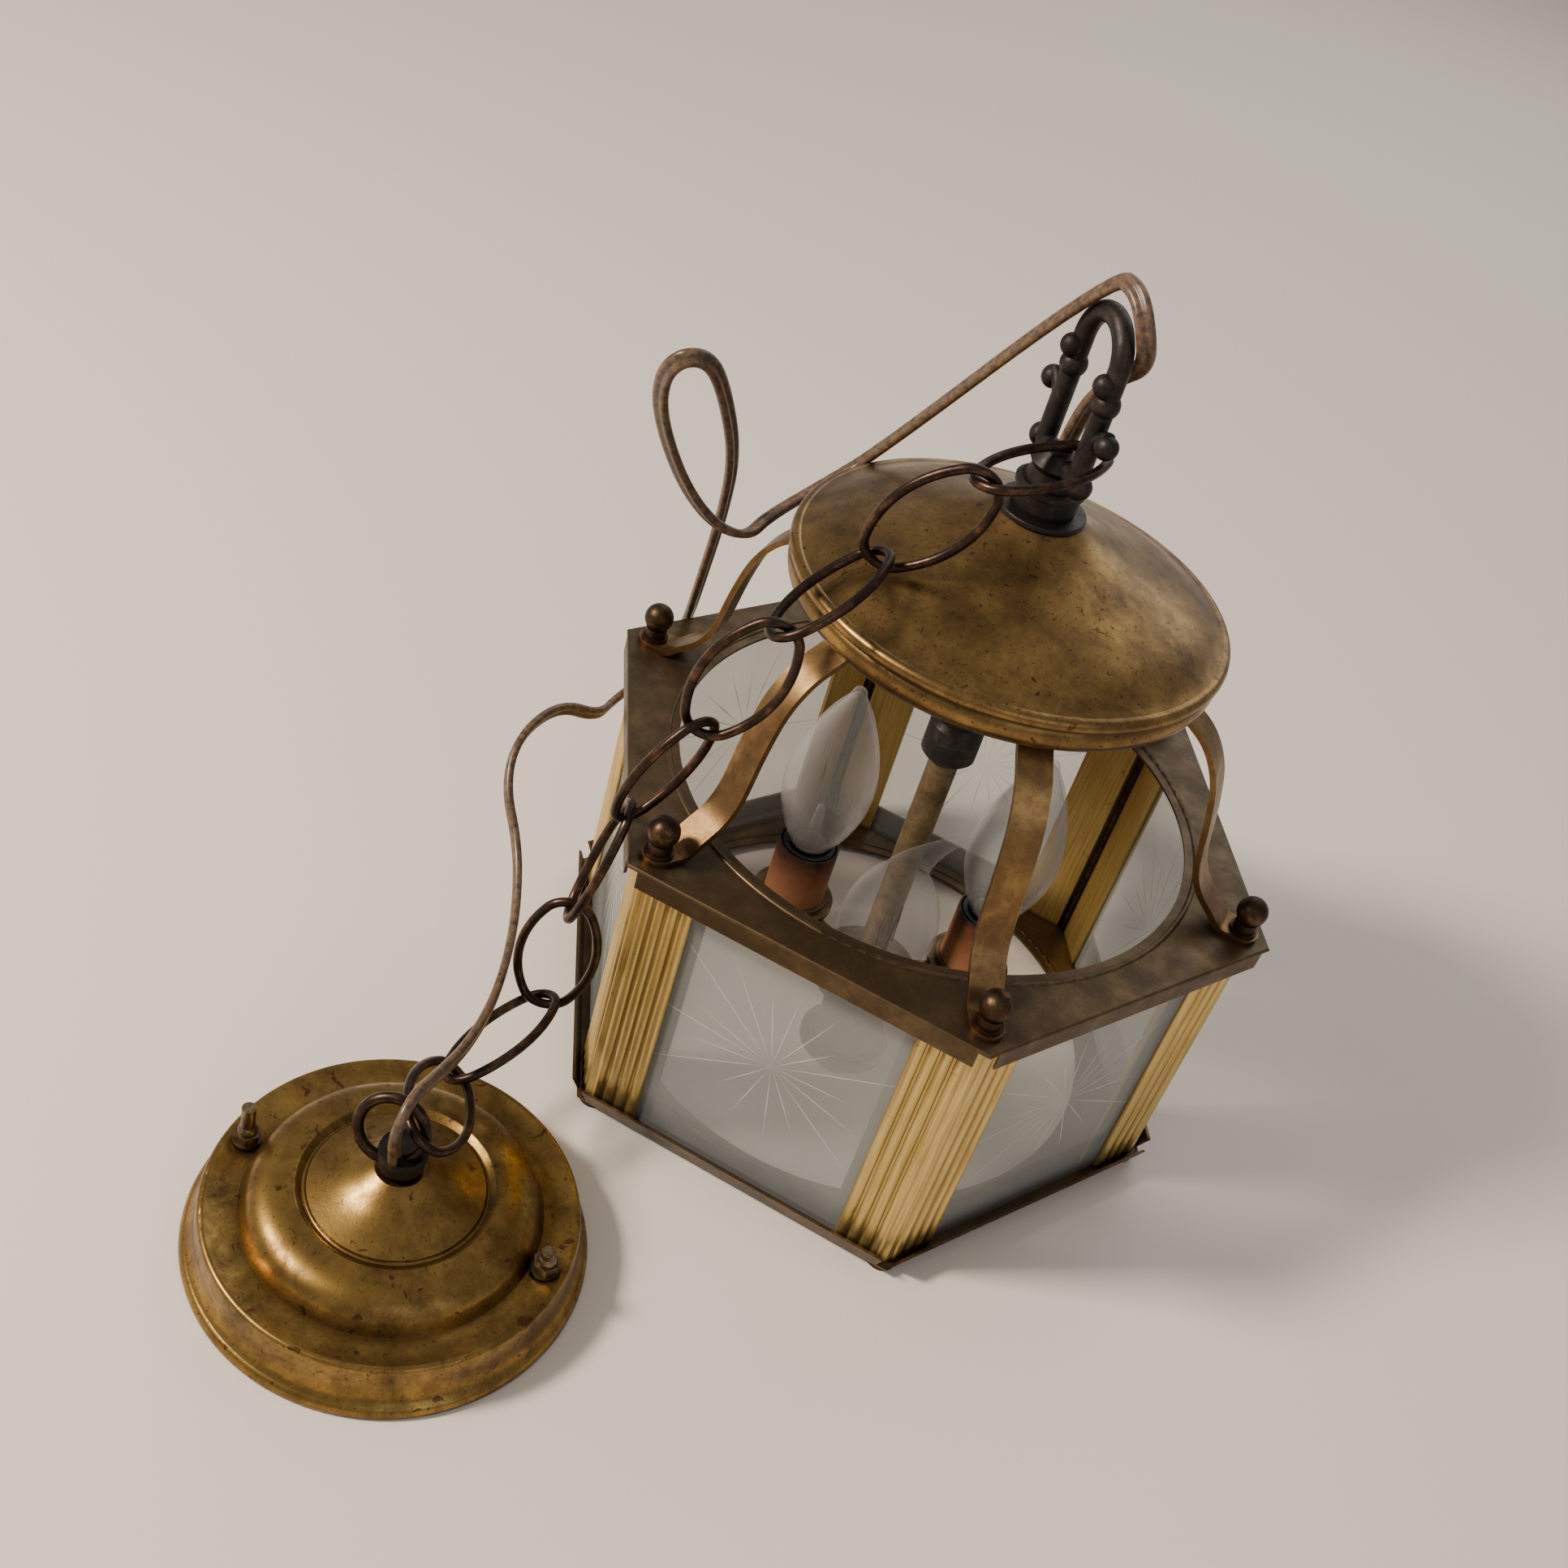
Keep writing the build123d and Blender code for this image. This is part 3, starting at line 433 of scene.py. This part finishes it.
class Finish(Enum):
    """Every finish on the lantern."""

    CROWN = AgedBrass(
        name="spun_brass_crown", dark="#503d27", mid="#775e38", bright="#9c7d48", patch_mm=17.0,
        speck_mm=1.1, speck_amount=0.8, wear=0.4, wear_mm=0.8, rough_low=0.24, rough_high=0.40,
        flake_mm=1.9,
    )
    FRAME = AgedBrass(
        name="pressed_brass_frame", dark="#403327", mid="#4f402c", bright="#66543a", patch_mm=12.0,
        speck_mm=0.9, speck_amount=0.45, wear=0.9, wear_mm=1.0, rough_low=0.36, rough_high=0.5,
        metal=0.8,
    )
    STRAP = AgedBrass(
        name="bar_brass_strap", dark="#59472e", mid="#73593a", bright="#94784b", patch_mm=12.0,
        speck_mm=1.0, speck_amount=0.45, wear=0.9, wear_mm=0.8, rough_low=0.3, rough_high=0.46,
    )
    NUT = AgedBrass(
        name="turned_brass_nut", dark="#271f18", mid="#3f3124", bright="#6b543a", patch_mm=5.0,
        speck_mm=0.8, speck_amount=0.6, wear=0.5, wear_mm=0.5, rough_low=0.34, rough_high=0.55,
    )
    LOOP = AgedBrass(
        name="cast_metal_loop", dark="#120f0e", mid="#1f1a18", bright="#3a302a", patch_mm=7.0,
        speck_mm=1.1, speck_amount=0.5, wear=0.5, wear_mm=0.6, rough_low=0.36, rough_high=0.6,
        metal=0.6, bump_mm=0.16, stain_and_shade="#0c0a09",
    )
    CHAIN = AgedBrass(
        name="bronzed_wire_chain", dark="#241b16", mid="#362a22", bright="#684a37", patch_mm=6.0,
        speck_mm=0.7, speck_amount=0.5, wear=0.3, wear_mm=0.4, rough_low=0.26, rough_high=0.44,
        metal=0.9, bump_mm=0.03, stain_and_shade="#1a130f",
    )
    CANOPY = AgedBrass(
        name="spun_brass_canopy", dark="#4d3a1e", mid="#7a6034", bright="#a28145", patch_mm=13.0,
        speck_mm=1.4, speck_amount=0.8, wear=0.5, wear_mm=0.8, rough_low=0.22, rough_high=0.46,
        metal=0.95, bump_mm=0.07, stain_and_shade="#3c2517", flake_mm=6.0,
    )
    STEM = AgedBrass(
        name="dull_brass_stem", dark="#4b3f2b", mid="#756348", bright="#94805c", patch_mm=8.0,
        speck_mm=1.0, speck_amount=0.4, wear=0.5, wear_mm=0.5, rough_low=0.4, rough_high=0.6,
        metal=0.6,
    )
    DARK = AgedBrass(
        name="blackened_coupling", dark="#171615", mid="#2b2826", bright="#4a4541", patch_mm=6.0,
        speck_mm=1.0, speck_amount=0.4, wear=0.5, wear_mm=0.5, rough_low=0.4, rough_high=0.6,
        metal=0.5, bump_mm=0.08, stain_and_shade="#0f0e0d",
    )
    SCREW = AgedBrass(
        name="plated_steel_screw", dark="#3c3226", mid="#6b5b45", bright="#9b8a6c", patch_mm=3.0,
        speck_mm=0.6, speck_amount=0.6, wear=0.8, wear_mm=0.4, rough_low=0.3, rough_high=0.5,
    )
    STRIP = BrightStrip(
        name="reeded_brass_strip", deep="#b0924f", light="#d3b976",
    )
    PANE = HazyGlass(
        name="wheel_cut_pane", tint="#a3a6a3", face_on=0.24, slanted=0.52, roughness=0.14,
        dust_mm=14.0, dust=0.10,
    )
    CUT = HazyGlass(
        name="ground_cut", tint="#dddcd6", face_on=0.34, slanted=0.5, roughness=0.5, dust_mm=1.0,
        dust=0.2,
    )
    LAMP = HazyGlass(
        name="blown_lamp_glass", tint="#b5b1ad", face_on=0.03, slanted=0.5, roughness=0.03,
        dust_mm=8.0, dust=0.05,
    )
    CARD = ScorchedCard(
        name="scorched_card_sleeve", low_z=0.027, high_z=0.050,
    )
    SOCKET = MouldedPlastic(
        name="phenolic_socket", low="#0f0e0e", high="#26221f", grain_mm=1.2, roughness=0.42,
    )
    CORD = MouldedPlastic(
        name="twin_wire_cover", low="#33261c", high="#6d553d", grain_mm=2.2, roughness=0.36,
    )
    SHELL = AgedBrass(
        name="rolled_screw_shell", dark="#77716a", mid="#a8a297", bright="#cfc9bc", patch_mm=4.0,
        speck_mm=0.8, speck_amount=0.3, wear=0.5, wear_mm=0.3, rough_low=0.25, rough_high=0.4,
    )
    WIRE = AgedBrass(
        name="tungsten_and_nickel_wire", dark="#2b2928", mid="#5b5753", bright="#8b8781",
        patch_mm=3.0, speck_mm=0.6, speck_amount=0.2, wear=0.2, wear_mm=0.2, rough_low=0.3,
        rough_high=0.5,
    )


MADE: dict[Finish, bpy.types.Material] = {}


def finish_of(kind: Finish) -> bpy.types.Material:
    """Returns a finish's material, made once."""
    if kind not in MADE:
        MADE[kind] = kind.value.build()
    return MADE[kind]


def dress(piece: bpy.types.Object, kind: Finish) -> None:
    """Gives an object one finish on all its faces."""
    if not piece.data.materials:
        piece.data.materials.append(finish_of(kind))
    for number in range(len(piece.data.materials)):
        piece.data.materials[number] = finish_of(kind)


def deselect() -> None:
    """Clears the selection."""
    for item in bpy.context.selected_objects:
        item.select_set(False)


def make_active(piece: bpy.types.Object) -> None:
    """Selects one object alone and makes it active."""
    deselect()
    piece.select_set(True)
    bpy.context.view_layer.objects.active = piece


def settle(piece: bpy.types.Object) -> None:
    """Moves an object's place and turn into its mesh."""
    make_active(piece)
    bpy.ops.object.transform_apply(location=True, rotation=True, scale=True)


def wire(name: str, points: list[Vector], radius: float, sides: int = 2) -> bpy.types.Object:
    """Makes a round wire along straight runs, as a mesh.

    Args:
        name: the piece's name.
        points: corners of the run, in metres.
        radius: half the wire's thickness.
        sides: resolution of its roundness.

    Returns:
        The wire.
    """
    curve = bpy.data.curves.new(name, "CURVE")
    curve.dimensions = "3D"
    curve.bevel_depth = radius
    curve.bevel_resolution = sides
    curve.use_fill_caps = True
    run = curve.splines.new("POLY")
    run.points.add(len(points) - 1)
    for spot, place in zip(run.points, points):
        spot.co = (*place, 1.0)
    piece = bpy.data.objects.new(name, curve)
    bpy.context.scene.collection.objects.link(piece)
    make_active(piece)
    bpy.ops.object.convert(target="MESH")
    return bpy.context.view_layer.objects.active


# ------------------------------------------------------------------ the cord
@dataclass
class TwinCord:
    """Flat cord of two covered wires side by side, lying along the fixed route."""

    width: float = 5.4 * MM
    core_radius: float = 1.4 * MM
    core_gap: float = 1.28 * MM
    side_points: int = 9
    wrap_degrees: int = 276
    across_start: tuple[float, float, float] = (0.6, -0.8, 0.0)

    def path(self) -> list[Vector]:
        """Reads evenly drawn points from the smooth line through the route.

        Returns:
            Points from the loop's foot to the canopy.
        """
        curve = bpy.data.curves.new("cord_line", "CURVE")
        curve.dimensions = "3D"
        line = curve.splines.new("NURBS")
        line.points.add(len(CORD_ROUTE) - 1)
        for spot, place in zip(line.points, CORD_ROUTE):
            spot.co = (*place, 1.0)
        line.order_u = 3
        line.use_endpoint_u = True
        line.resolution_u = 8
        holder = bpy.data.objects.new("cord_line", curve)
        bpy.context.scene.collection.objects.link(holder)
        bpy.context.view_layer.update()
        graph = bpy.context.evaluated_depsgraph_get()
        drawn = bpy.data.meshes.new_from_object(holder.evaluated_get(graph))
        points = [vertex.co.copy() for vertex in drawn.vertices]
        bpy.data.objects.remove(holder)
        bpy.data.meshes.remove(drawn)
        return points

    def section(self) -> list[tuple[float, float]]:
        """Outline of the two round cores and the groove between them, as (across, up)."""
        outline = []
        for side in (1, -1):
            for step in range(self.side_points):
                angle = math.radians(
                    -self.wrap_degrees / 2 + self.wrap_degrees * step / (self.side_points - 1)
                )
                across = side * (self.core_gap + self.core_radius * math.cos(angle))
                outline.append((across, side * self.core_radius * math.sin(angle)))
        return outline

    def build(self) -> bpy.types.Object:
        """Sweeps the section along the path without twisting it.

        Returns:
            The cord.
        """
        points = self.path()
        outline = self.section()
        mesh = bmesh.new()
        heading = (points[1] - points[0]).normalized()
        across = Vector(self.across_start).cross(heading).normalized()
        rings = []
        for number, place in enumerate(points):
            ahead = points[min(number + 1, len(points) - 1)] - points[max(number - 1, 0)]
            ahead.normalize()
            across = heading.rotation_difference(ahead) @ across
            across = (across - ahead * across.dot(ahead)).normalized()
            heading = ahead
            up = ahead.cross(across)
            rings.append([mesh.verts.new(place + across * a + up * b) for a, b in outline])
        count = len(outline)
        for first, second in zip(rings, rings[1:]):
            for k in range(count):
                mesh.faces.new(
                    (first[k], first[(k + 1) % count], second[(k + 1) % count], second[k]),
                )
        mesh.faces.new(list(reversed(rings[0])))
        mesh.faces.new(rings[-1])
        bmesh.ops.recalc_face_normals(mesh, faces=mesh.faces)
        for face in mesh.faces:
            face.smooth = True
        data = bpy.data.meshes.new("twin_cord")
        mesh.to_mesh(data)
        mesh.free()
        piece = bpy.data.objects.new("twin_cord", data)
        bpy.context.scene.collection.objects.link(piece)
        dress(piece, Finish.CORD)
        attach(piece, "lantern")
        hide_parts("power_cord")
        return piece


# ------------------------------------------------------------------ panes and their cuts
@dataclass
class StarCuts:
    """Wheel-cut star on the outer face of each pane: thin two-sided grooves of uneven length."""

    face: float = 95.1 * MM
    centre_z: float = 56.0 * MM
    proud: float = 0.06 * MM
    half_width: float = 0.2 * MM
    stretch: float = 0.68
    offset: float = 0.66
    star_turn: int = 11
    star_start: int = 20
    rays: tuple[tuple[float, float], ...] = (
        (2, 35), (22, 19), (41, 26), (63, 24), (80, 22), (98, 30), (116, 38), (139, 22), (152, 37),
        (167, 20),
        (185, 33), (207, 17), (230, 22), (255, 24), (276, 20), (298, 35), (320, 26), (340, 20),
    )

    def ray(self, angle: float, reach: float) -> bpy.types.Object:
        """Makes one groove, a long thin four-sided pyramid lying on the pane at +X.

        Args:
            angle: its direction in the pane, in degrees.
            reach: its length in metres.

        Returns:
            The groove.
        """
        bpy.ops.mesh.primitive_cone_add(vertices=4, radius1=1.0, radius2=0.0, depth=1.0)
        piece = bpy.context.active_object
        piece.scale = (self.stretch * reach, self.half_width, self.proud)
        settle(piece)
        turn = Matrix.Rotation(math.radians(angle), 4, "Z")
        stand = Matrix(((0, 0, 1, 0), (1, 0, 0, 0), (0, 1, 0, 0), (0, 0, 0, 1)))
        place = Matrix.Translation((self.face + self.proud / 2, 0.0, self.centre_z))
        outward = Matrix.Translation((self.offset * reach, 0, 0))
        piece.data.transform(place @ stand @ turn @ outward)
        return piece

    def build(self) -> None:
        """Makes one star and copies it to the six panes, each a little turned in its plane."""
        rays = [self.ray(angle, reach * MM) for angle, reach in self.rays]
        deselect()
        for piece in rays:
            piece.select_set(True)
        bpy.context.view_layer.objects.active = rays[0]
        bpy.ops.object.join()
        star = bpy.context.active_object
        for number in range(SIDES):
            data = star.data.copy()
            data.transform(Matrix.Translation((0, 0, -self.centre_z)))
            tilt = self.star_turn * number - self.star_start
            data.transform(Matrix.Rotation(math.radians(tilt), 4, "X"))
            data.transform(Matrix.Translation((0, 0, self.centre_z)))
            azimuth = SIDE_TURN / 2 + SIDE_TURN * number
            data.transform(Matrix.Rotation(math.radians(azimuth), 4, "Z"))
            piece = bpy.data.objects.new(f"star_cut_{number + 1}", data)
            bpy.context.scene.collection.objects.link(piece)
            dress(piece, Finish.CUT)
            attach(piece, "lantern")
        bpy.data.objects.remove(star)
        LOG.info("stars on six panes")


# ------------------------------------------------------------------ lamps
@dataclass
class LampInside:
    """Glass mount, support wires and filament inside each lamp."""

    pitch: float = 39.0 * MM
    azimuths: tuple[float, ...] = (160.0, 39.0, -78.0)
    foot_z: float = 51.0 * MM
    foot_radius: float = 4.6 * MM
    foot_height: float = 1.0 * MM
    flares: tuple[tuple[float, float], ...] = ((3.0, 0.5), (8.0, 0.8), (4.0, 0.75), (0.8, 0.5))
    wire_radius: float = 0.16 * MM
    bends: int = 8
    sweep: int = 200
    reach_mm: float = 4.2
    upper_mm: float = 86.0
    lower_mm: float = 72.0

    def mount(self, name: str) -> bpy.types.Object:
        """Makes the flared and pinched glass mount on the origin's axis.

        Args:
            name: the piece's name.

        Returns:
            The mount.
        """
        deselect()
        bpy.ops.mesh.primitive_cylinder_add(
            vertices=20, radius=self.foot_radius, depth=self.foot_height,
            location=(0, 0, self.foot_z + self.foot_height / 2),
        )
        piece = bpy.context.active_object
        piece.name = name
        bpy.ops.object.mode_set(mode="EDIT")
        work = bmesh.from_edit_mesh(piece.data)
        for face in work.faces:
            face.select_set(face.normal.z > 0.9)
        bmesh.update_edit_mesh(piece.data)
        for rise, scale in self.flares:
            bpy.ops.mesh.extrude_region_move(TRANSFORM_OT_translate={"value": (0, 0, rise * MM)})
            bpy.ops.transform.resize(value=(scale, scale, 1.0), center_override=(0, 0, 0))
        bpy.ops.object.mode_set(mode="OBJECT")
        settle(piece)
        bpy.ops.object.shade_smooth_by_angle(angle=math.radians(50))
        return piece

    def filament(self, name: str) -> bpy.types.Object:
        """Makes the lead wires and the zigzag filament between them.

        Args:
            name: the piece's name.

        Returns:
            The lead wires and filament, as one wire.
        """
        zigzag = []
        for step in range(self.bends + 1):
            angle = math.radians(self.sweep * step / self.bends - self.sweep / 2)
            height = self.upper_mm if step % 2 else self.lower_mm
            zigzag.append((
                self.reach_mm * math.sin(angle), self.reach_mm * math.cos(angle) - 1.0, height,
            ))
        lead_in = [(-0.8, 0, 64), (-4.1, -1.7, 71.5)]
        lead_out = [(4.1, -1.7, 71.5), (0.8, 0, 64)]
        spots = lead_in + zigzag + lead_out
        return wire(name, [Vector(spot) * MM for spot in spots], self.wire_radius, 1)

    def build(self) -> None:
        """Makes the inside once and copies it into the three lamps."""
        glass = self.mount("lamp_mount")
        thread = self.filament("lamp_filament")
        parts = ((glass, Finish.LAMP, "bulb_glass"), (thread, Finish.WIRE, "screw_shell"))
        for number, azimuth in enumerate(self.azimuths, start=1):
            angle = math.radians(azimuth)
            shift = Matrix.Translation(
                (self.pitch * math.cos(angle), self.pitch * math.sin(angle), 0),
            )
            for source, kind, slot in parts:
                data = source.data.copy()
                data.transform(shift @ Matrix.Rotation(angle, 4, "Z"))
                piece = bpy.data.objects.new(f"{source.name}_{number}", data)
                bpy.context.scene.collection.objects.link(piece)
                dress(piece, kind)
                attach(piece, f"bulb_{number}")
        bpy.data.objects.remove(glass)
        bpy.data.objects.remove(thread)
        LOG.info("insides of three lamps")


# ------------------------------------------------------------------ the fixed parts
@dataclass
class FrameDressing:
    """Finishes for the parts that keep their own shape, by the start of the node's name."""

    finishes: dict[str, Finish] = field(default_factory=lambda: {
        "top_frame": Finish.FRAME, "bottom_frame": Finish.FRAME, "tie_rods": Finish.NUT,
        "rod_feet": Finish.NUT,
        "ball_nuts": Finish.NUT, "strap_nuts": Finish.LOOP, "inner_strips": Finish.STRIP,
        "glass_panel": Finish.PANE,
        "reeded_strip": Finish.STRIP, "strap": Finish.STRAP, "crown": Finish.CROWN,
        "loop_washer": Finish.LOOP,
        "loop_collar": Finish.LOOP, "cast_loop": Finish.LOOP, "stem_coupling": Finish.DARK,
        "stem_nipple": Finish.STEM,
        "center_stem": Finish.STEM, "cluster": Finish.STEM, "candle_sleeve": Finish.CARD,
        "candle_sockets": Finish.SOCKET,
        "bulb_base": Finish.SHELL, "bulb_glass": Finish.LAMP, "chain_link": Finish.CHAIN,
        "canopy_screws": Finish.SCREW,
        "canopy_loop": Finish.CHAIN, "canopy_collar": Finish.LOOP, "canopy_shell": Finish.CANOPY,
    })

    def finish_for(self, name: str) -> Finish:
        """Picks the finish whose key is the longest start of the node's name."""
        keys = [key for key in self.finishes if name.startswith(key)]
        return self.finishes[max(keys, key=len)]

    def dress_all(self) -> None:
        """Gives every node its finish."""
        for name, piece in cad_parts.items():
            if name == "power_cord":
                continue
            dress(piece, self.finish_for(name))
            LOG.info("dressed %s", name)


# ------------------------------------------------------------------ room, lights and camera
@dataclass
class Studio:
    """Pale floor, soft lights and the camera."""

    place: tuple[float, float, float] = (0.0759, -0.4642, 0.4577)
    right: tuple[float, float, float] = (0.872, 0.427, 0.237)
    up: tuple[float, float, float] = (-0.444, 0.492, 0.749)
    ahead: tuple[float, float, float] = (-0.2035, 0.759, -0.6186)
    lens_mm: float = 41.19
    sensor_mm: float = 36.0
    near: float = 0.01
    far: float = 50.0
    floor_size: float = 12.0
    floor_z: float = -0.3 * MM
    aim: tuple[float, float, float] = (-0.02, -0.05, 0.1)
    room_light: float = 0.5

    def camera(self) -> None:
        """Places the camera and makes it the scene's."""
        data = bpy.data.cameras.new("view")
        data.lens = self.lens_mm
        data.sensor_width = self.sensor_mm
        data.clip_start = self.near
        data.clip_end = self.far
        camera = bpy.data.objects.new("view", data)
        bpy.context.scene.collection.objects.link(camera)
        back = -Vector(self.ahead).normalized()
        right = Vector(self.right)
        right = (right - back * right.dot(back)).normalized()
        up = back.cross(right)
        turn = Matrix((right, up, back)).transposed().to_4x4()
        camera.matrix_world = Matrix.Translation(self.place) @ turn
        bpy.context.scene.camera = camera

    def floor(self) -> None:
        """Lays a plain pale floor under the object."""
        deselect()
        bpy.ops.mesh.primitive_plane_add(size=self.floor_size, location=(0, 0, self.floor_z))
        floor = bpy.context.active_object
        floor.name = "floor"
        material, _, shader = new_material("pale_floor")
        shader.inputs["Base Color"].default_value = linear("#ddd3c8")
        shader.inputs["Roughness"].default_value = 0.6
        floor.data.materials.append(material)

    def lamp(
        self, name: str, place: tuple[float, float, float], watts: float, size: float, code: str,
    ) -> None:
        """Adds one square area light aimed at the lantern.

        Args:
            name: the light's name.
            place: where it stands, in metres.
            watts: its strength.
            size: the length of its side.
            code: its colour.
        """
        data = bpy.data.lights.new(name, "AREA")
        data.energy = watts
        data.size = size
        data.color = linear(code)[:3]
        light = bpy.data.objects.new(name, data)
        bpy.context.scene.collection.objects.link(light)
        light.location = place
        aim = Vector(self.aim) - Vector(place)
        light.rotation_euler = aim.to_track_quat("-Z", "Y").to_euler()

    def lights(self) -> None:
        """Sets the key, fill and back lights and the room's light."""
        self.lamp("key", (-1.05, -0.75, 1.15), 42.0, 0.28, "#fff1e0")
        self.lamp("fill", (1.3, -1.2, 1.2), 5.0, 1.2, "#f3f4f8")
        self.lamp("back", (0.1, 1.6, 1.3), 9.0, 1.5, "#ffffff")
        world = bpy.data.worlds.new("room")
        bpy.context.scene.world = world
        world.use_nodes = True
        background = world.node_tree.nodes["Background"]
        background.inputs["Color"].default_value = linear("#f2ede6")
        background.inputs["Strength"].default_value = self.room_light

    def build(self) -> None:
        """Makes the floor and the lights."""
        self.floor()
        self.lights()


def main() -> None:
    """Builds camera, cord, finishes, cuts, lamp insides, then floor and lights, in that order."""
    logging.basicConfig(level=logging.INFO, format="%(message)s")
    studio = Studio()
    studio.camera()
    TwinCord().build()
    FrameDressing().dress_all()
    StarCuts().build()
    LampInside().build()
    studio.build()
    deselect()


if __name__ == "__main__":
    main()
